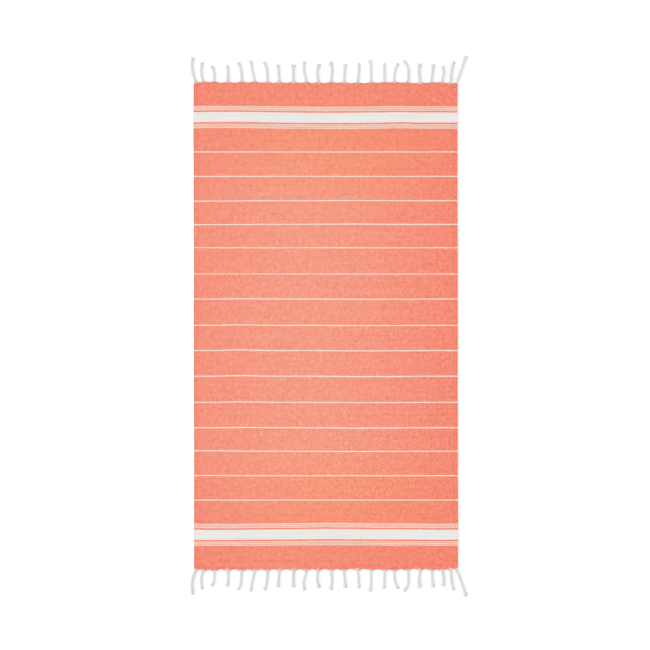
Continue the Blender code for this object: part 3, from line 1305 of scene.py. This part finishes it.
@dataclass(frozen=True)
class Splay:
    """A bundle of loose strands that opens from one end to the other."""

    strands: int
    strand_radius: float
    gathered: float
    opened: float
    sides: int
    opening: float = 1.4  # how late it opens
    flatness: float = 0.55  # the height of its open end against its gathered one
    curl: float = 0.9  # how far a strand strays, against the opened width
    unevenness: float = 0.30  # how much shorter the shortest strand is

    def tree(self, name: str) -> StrandGraph:
        """The tree that makes a bundle of each guide line.

        Args:
            name: the tree's name.

        Returns:
            The tree, with its sizes as named inputs.
        """
        graph = StrandGraph(name)
        radius = graph.size("Strand radius", self.strand_radius)
        gathered = graph.size("Gathered", self.gathered)
        opened = graph.size("Opened", self.opened)
        total = graph.count("Strands", self.strands)
        copied, number = graph.copies(total)
        part, girth, reach = graph.read("part"), graph.read("girth"), graph.read("reach")
        phase, splay = graph.read("phase"), graph.read("splay")
        out = ((number + 0.5) / total) ** 0.5
        angle = number * GOLDEN_TURN + phase
        chance = graph.chance(number, phase)
        wide = graph.mix(part ** self.opening, gathered, opened * splay)
        aside = cosine(angle) * out * wide * girth
        above = sine(angle) * out * graph.mix(part, gathered, gathered * self.flatness) * girth
        run, side, rise = graph.ways()
        stray = graph.slack(part * 2.0, number * 1.7, phase)
        aside = aside + stray * part * opened * self.curl
        short = run * (part * chance * reach * -self.unevenness)
        where = graph.node("GeometryNodeInputPosition", {}) + side * aside + rise * above + short
        x, y, z = where.parts()
        laid = graph.vector(x, y, z.at_least(radius * girth))
        carried = {"tone": chance, "along": part * reach}
        graph.spin(copied, laid, carried, radius, girth, self.sides)
        return graph


@dataclass(frozen=True)
class BareWarp:
    """Warp threads that run from the last weft thread into the tassels, close along the cloth's end."""

    straight: float  # how far they run straight out before they turn aside
    threads: int = 26
    radius: float = 0.34 * MM
    out: float = 11.0 * MM
    entry: float = 4.2 * MM
    inset: float = 1.5 * MM  # how far the outmost ones start from the selvedges
    turning: float = 1.35  # how soon they turn aside
    bend: float = 2.0  # how late the middle ones leave the cloth's end
    outer_bend: float = 2.2  # and how much later the outer ones
    pit_grain: Grain = Grain(across=150, along=5, seed=1)  # where the last weft threads are missing
    pit_level: float = 0.42  # and from which height of the grain on
    pits: float = 12.0 * MM  # how far in they start there, for a grain 1 higher than that
    tuck: float = 0.5 * MM  # how far in they start everywhere
    lift: float = 0.5 * MM
    climb: float = 3.2 * MM
    sag: float = 2.4 * MM
    sag_along: float = 0.4
    steps: int = 9
    sides: int = 4

    def tree(self, name: str, end: End) -> StrandGraph:
        """The tree that makes the threads of each tassel's guide line.

        Args:
            name: the tree's name.
            end: the end of the towel.

        Returns:
            The tree, with its sizes as named inputs.
        """
        graph = StrandGraph(name)
        radius = graph.size("Thread radius", self.radius)
        out = graph.size("Reach out", self.out)
        entry = graph.size("Width at the tassel", self.entry)
        total = graph.count("Threads", self.threads)
        copied, number = graph.copies(total)
        part, root, lean = graph.read("part"), graph.read("root"), graph.read("lean")
        left, right = graph.read("left"), graph.read("right")
        left_over = 1.0 - part
        chance = graph.chance(number, root * 1000.0)
        share = (number + 0.2 + chance * 0.6) / total
        start = root + left + (right - left) * share
        enter = root + (share - 0.5) * entry + lean
        x = start + (enter - start) * (1.0 - left_over ** self.turning)
        far = abs(share - 0.5) * 2.0
        pit = self.pit_grain.at(graph, start, float(end.value))
        inside = (pit - self.pit_level).clamped() * self.pits + self.tuck
        first = (1.0 - left_over ** 7.0) * self.straight
        y = self.end_at(start) + (part ** (self.bend + far * self.outer_bend)) * (out - first) + first
        y = y - inside * left_over ** 4.0
        z = self.lift + part * self.climb + far * self.lift * part
        slack = graph.slack(part * 2.2, number * 2.3, root * 40.0)
        bow = swell(part * 2.0 - 1.0) * slack * self.sag
        y = (y + bow * self.sag_along) * float(end.value)
        laid = graph.vector(x + OUTLINE.middle_x + bow, y, z)
        carried = {"tone": chance, "along": part * out}
        graph.spin(copied, laid, carried, radius, 1.0, self.sides)
        return graph

    def end_at(self, x: Flow) -> Flow:
        """How far the last weft thread lies from the middle of the towel."""
        return OUTLINE.end_push(x) + OUTLINE.length / 2

    def lines(self) -> list[Line]:
        """The guide line of each tassel's threads.

        Returns:
            One line a tassel, with how far to each side it takes its threads from.
        """
        roots = [tassel.root * MM for tassel in TASSELS]
        half = OUTLINE.width / 2 - self.inset
        bounds = [-half] + [(a + b) / 2 for a, b in zip(roots, roots[1:])] + [half]
        found = []
        for tassel, left, right in zip(TASSELS, bounds, bounds[1:]):
            line = Line()
            root = tassel.root * MM
            lean = TasselPath(tassel, End.UPPER).place(self.out).x - OUTLINE.middle_x - root
            for step in range(self.steps):
                part = step / (self.steps - 1)
                point = Vector((root, part * self.out, 0.0))
                line.step(point, part=part, root=root, lean=lean, left=left - root, right=right - root)
            found.append(line)
        return found


@dataclass(frozen=True)
class TasselPath:
    """Where one tassel lies, in the row frame."""

    tassel: Tassel
    end: End
    hook_power: int = 6
    parting: float = 0.3 * MM
    flat_height: float = 0.7 * MM  # the middle of the warp over the floor, where it leaves the cloth
    gathered_at: float = 9.0 * MM
    radius: float = 6.3 * MM

    def place(self, out: float) -> Vector:
        """The middle of the tassel in plan.

        Args:
            out: the distance out from the end of the cloth.

        Returns:
            The place, at the height of the floor.
        """
        tassel = self.tassel
        part = out / (tassel.length * MM)
        curve = tassel.bow * 4 * part * (1 - part)
        hook = tassel.hook * math.copysign(abs(part) ** self.hook_power, part)
        root = tassel.root * MM
        x = root + (tassel.lean * part + curve + hook) * MM
        y = OUTLINE.length / 2 + OUTLINE.end_push(root) + self.parting + out
        return Vector((x + OUTLINE.middle_x, self.end.value * y, 0.0))

    def run(self, out: float) -> Vector:
        """The way that the tassel runs at a distance out."""
        return (self.place(out + MM) - self.place(out - MM)).normalized()

    def gather(self, out: float) -> float:
        """How far the warp has gathered into the cord: 0 flat at the cloth, and 1 in the cord."""
        part = min(1.0, max(0.0, out / self.gathered_at))
        return part * part * (3 - 2 * part)

    def height(self, out: float, knot_height: float) -> float:
        """How high the middle of the cord lies over the floor.

        Args:
            out: the distance out from the cloth.
            knot_height: the height of the knot's middle.

        Returns:
            The height.
        """
        lying = self.radius * self.tassel.girth
        part = max(0.0, out / (self.tassel.length * MM) - 0.5) * 2
        lying += (knot_height - lying) * part * part
        return self.flat_height + (lying - self.flat_height) * self.gather(out)


@dataclass
class Fringe:
    """One end's fringe: twisted cords, each tied in a knot with a short tuft, and the bare warp."""

    end: End
    node: str
    number: int
    warp: BareWarp
    cord: Rope = Rope(
        plies=3, strands=4, ply_offset=3.35 * MM, strand_offset=1.75 * MM, strand_radius=1.4 * MM,
        lay=24 * MM, strand_lay=15 * MM, fan_pitch=0.95 * MM, hand=Hand.Z, sides=6,
    )
    wrap: Rope = Rope(
        plies=2, strands=4, ply_offset=1.7 * MM, strand_offset=1.0 * MM, strand_radius=0.85 * MM,
        lay=16 * MM, strand_lay=10 * MM, fan_pitch=0.6 * MM, hand=Hand.Z, sides=5,
    )
    tuft: Splay = Splay(strands=22, strand_radius=0.75 * MM, gathered=4.7 * MM, opened=7.4 * MM, sides=5)
    cord_start: float = -2.6 * MM  # inside the cloth's end
    cord_left: float = 6.5 * MM  # how far from the end of the tuft the cord ends
    flat_share: float = 0.42  # how much of its thickness the cord has before it gathers
    neck_share: float = 0.22  # how much of its girth the cord loses in the knot
    neck_reach: float = 9 * MM
    turn_each: float = 1.9  # how far each tassel is turned against its neighbour, in radians
    turn_end: float = 2.7  # and one end's against the other's
    tuft_length: float = 8.6 * MM
    tuft_steps: int = 5
    tuft_height: float = 4.9 * MM
    tuft_drop: float = 2.3 * MM
    knot_back: float = 8.6 * MM
    knot_radius: float = 5.1 * MM
    knot_flatness: float = 0.8
    knot_turns: float = 1.8
    knot_pitch: float = 3.312 * MM
    knot_step: float = 1.35 * MM
    knot_tuck: float = 0.35  # how near the cord the coil's ends lie
    knot_rise: float = 6.0  # how fast they leave it
    knot_height: float = 5.6 * MM
    knot_tilt: float = math.radians(24)

    def paths(self) -> list[TasselPath]:
        """Where the tassels lie."""
        return [TasselPath(tassel, self.end) for tassel in TASSELS]

    def cord_lines(self) -> list[Line]:
        """The guide lines of the cords, from inside the cloth's end to inside the knots.

        Returns:
            One line a tassel.
        """
        found = []
        for number, path in enumerate(self.paths()):
            line = Line()
            start, stop = self.cord_start, path.tassel.length * MM - self.cord_left
            steps = round((stop - start) / GUIDE_STEP)
            for step in range(steps + 1):
                out = start + (stop - start) * step / steps
                point = path.place(out)
                point.z = path.height(out, self.knot_height)
                gather = path.gather(out)
                girth = path.tassel.girth * self.neck(stop - out)
                line.step(
                    point,
                    along=out,
                    gather=gather,
                    girth=girth,
                    thick=girth * (self.flat_share + (1 - self.flat_share) * gather),
                    phase=self.phase(number),
                    up=UP,
                )
            found.append(line)
        return found

    def neck(self, left: float) -> float:
        """How much of its girth the cord keeps, with so much of it left up to its end in the knot."""
        return 1.0 - self.neck_share * swell(left / self.neck_reach)

    def phase(self, number: int) -> float:
        """A turn of its own for each tassel, in radians."""
        return (number * self.turn_each + self.number * self.turn_end) % math.tau

    def knot_lines(self) -> list[Line]:
        """The guide lines of the knots: a coil round each cord near its end.

        Returns:
            One line a tassel.
        """
        found = []
        for number, path in enumerate(self.paths()):
            line = Line()
            middle = path.tassel.length * MM - self.knot_back
            run = path.run(middle)
            centre = path.place(middle) + Vector((0.0, 0.0, self.knot_height))
            side = run.cross(UP)
            tilt = self.knot_tilt * (1 if number % 2 else -1)
            axis = (run * math.cos(tilt) + side * math.sin(tilt)).normalized()
            across = axis.cross(UP).normalized()
            up = across.cross(axis)
            size = path.tassel.knot * path.tassel.girth
            turned = self.knot_turns * math.tau
            steps = round(turned * self.knot_radius / self.knot_step)
            for step in range(steps + 1):
                part = step / steps
                angle = turned * part + self.phase(number)
                emerged = min(1.0, self.knot_rise * part, self.knot_rise * (1 - part))
                reach = self.knot_radius * size * (self.knot_tuck + (1 - self.knot_tuck) * emerged)
                shift = (part - 0.5) * self.knot_turns * self.knot_pitch * size
                spoke = across * math.cos(angle) + up * math.sin(angle) * self.knot_flatness
                line.step(
                    centre + axis * shift + spoke * reach,
                    along=part * turned * self.knot_radius,
                    gather=1.0,
                    girth=size,
                    thick=size,
                    phase=self.phase(number),
                    up=axis,
                )
            found.append(line)
        return found

    def tuft_lines(self) -> list[Line]:
        """The guide lines of the cut tufts, from inside the knots down to the floor.

        Returns:
            One line a tassel.
        """
        found = []
        for number, path in enumerate(self.paths()):
            line = Line()
            start = path.tassel.length * MM - self.tuft_length
            for step in range(self.tuft_steps + 1):
                part = step / self.tuft_steps
                point = path.place(start + self.tuft_length * part)
                point.z = self.tuft_height - self.tuft_drop * part * part
                line.step(
                    point,
                    part=part,
                    reach=self.tuft_length,
                    girth=path.tassel.girth,
                    splay=path.tassel.splay,
                    phase=self.phase(number),
                    up=UP,
                )
            found.append(line)
        return found

    def build(self, yarn: bpy.types.Material, bare_yarn_painted_shade: bpy.types.Material) -> list[bpy.types.Object]:
        """Makes the fringe's pieces.

        Args:
            yarn: the cords' material.
            bare_yarn_painted_shade: the bare warp's material, darker than the cords' yarn as painted shade.

        Returns:
            The cords, the knots, the tufts and the bare warp.
        """
        plan = (
            ("cords_", self.cord_lines(), self.cord.tree("twisted_cord"), yarn),
            ("knots_", self.knot_lines(), self.wrap.tree("knot_coil"), yarn),
            ("tufts_", self.tuft_lines(), self.tuft.tree("cut_tuft"), yarn),
            ("bare_warp_", self.warp.lines(), self.warp.tree("bare_warp", self.end), bare_yarn_painted_shade),
        )
        pieces = []
        for kind, lines, tree, finish in plan:
            name = kind + self.end.name.lower()
            guide = line_object(name + "_guide", lines)
            tree.run(guide, finish)
            pieces.append(plain_mesh(name, guide))
        return pieces


# ---------------------------------------------------------------- the studio


@dataclass
class Studio:
    """The camera straight above, the pale floor, and soft light with a little more from the left."""

    lens: float = 100.0
    sensor: float = 36.0
    view_width: float = 2.219
    middle: tuple[float, float] = (-0.0130, 0.0034)
    floor_half: float = 30.0
    floor_drop: float = 0.2 * MM
    surround: float = 0.926
    key_strength: float = 1.18
    key_softness: float = math.radians(30)
    key_height: float = math.radians(35)

    def build_camera(self) -> None:
        """Makes the camera, and makes it the scene's."""
        data = bpy.data.cameras.new("camera")
        data.lens = self.lens
        data.sensor_width = self.sensor
        data.clip_end = 100.0
        camera = bpy.data.objects.new("camera", data)
        camera.location = (*self.middle, self.view_width * self.lens / self.sensor)
        bpy.context.scene.collection.objects.link(camera)
        bpy.context.scene.camera = camera

    def build_floor(self, finish: bpy.types.Material) -> None:
        """Makes the floor.

        Args:
            finish: its material.
        """
        shape = bmesh.new()
        bmesh.ops.create_grid(shape, x_segments=1, y_segments=1, size=self.floor_half)
        mesh = bpy.data.meshes.new("floor")
        shape.to_mesh(mesh)
        shape.free()
        mesh.materials.append(finish)
        floor = bpy.data.objects.new("floor", mesh)
        floor.location.z = -self.floor_drop
        bpy.context.scene.collection.objects.link(floor)

    def build_light(self) -> None:
        """Makes the even surround and the soft key light from the left."""
        scene = bpy.context.scene
        scene.view_settings.view_transform = "Standard"
        world = bpy.data.worlds.new("soft_surround")
        world.use_nodes = True
        background = world.node_tree.nodes["Background"]
        background.inputs["Color"].default_value = (1.0, 1.0, 1.0, 1.0)
        background.inputs["Strength"].default_value = self.surround
        scene.world = world
        data = bpy.data.lights.new("key", "SUN")
        data.energy = self.key_strength
        data.angle = self.key_softness
        key = bpy.data.objects.new("key", data)
        key.rotation_euler = (0.0, -(math.pi / 2 - self.key_height), 0.0)
        scene.collection.objects.link(key)


def main() -> None:
    """Builds the studio, the cloth and the two fringes, and attaches every piece to the root body."""
    logging.basicConfig(level=logging.INFO, format="%(name)s: %(message)s")
    studio = Studio()
    studio.build_camera()
    studio.build_light()
    studio.build_floor(StudioFloor().build())
    woven = WovenCloth()
    cloth = woven.build(StripedWeave().build())
    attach(cloth, "root")
    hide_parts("cloth")
    report(cloth)
    # The bare warp gets the darker yarn: painted shade along the cloth's ends.
    yarn, bare_yarn_painted_shade = TwistedYarn().build(), BARE_YARN_PAINTED_SHADE.build()
    selvedges = woven.build_selvedges(yarn)
    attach(selvedges, "root")
    report(selvedges)
    fringes = (
        Fringe(End.UPPER, "fringe_top", number=0, warp=BareWarp(straight=1.6 * MM)),
        Fringe(End.LOWER, "fringe_bottom", number=1, warp=BareWarp(straight=4.2 * MM)),
    )
    for fringe in fringes:
        for piece in fringe.build(yarn, bare_yarn_painted_shade):
            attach(piece, "root")
            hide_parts(fringe.node)
            report(piece)


def report(piece: bpy.types.Object) -> None:
    """Reports how many triangles a finished piece has."""
    triangles = sum(len(face.vertices) - 2 for face in piece.data.polygons)
    log.info("%s: %d triangles", piece.name, triangles)


if __name__ == "__main__":
    main()
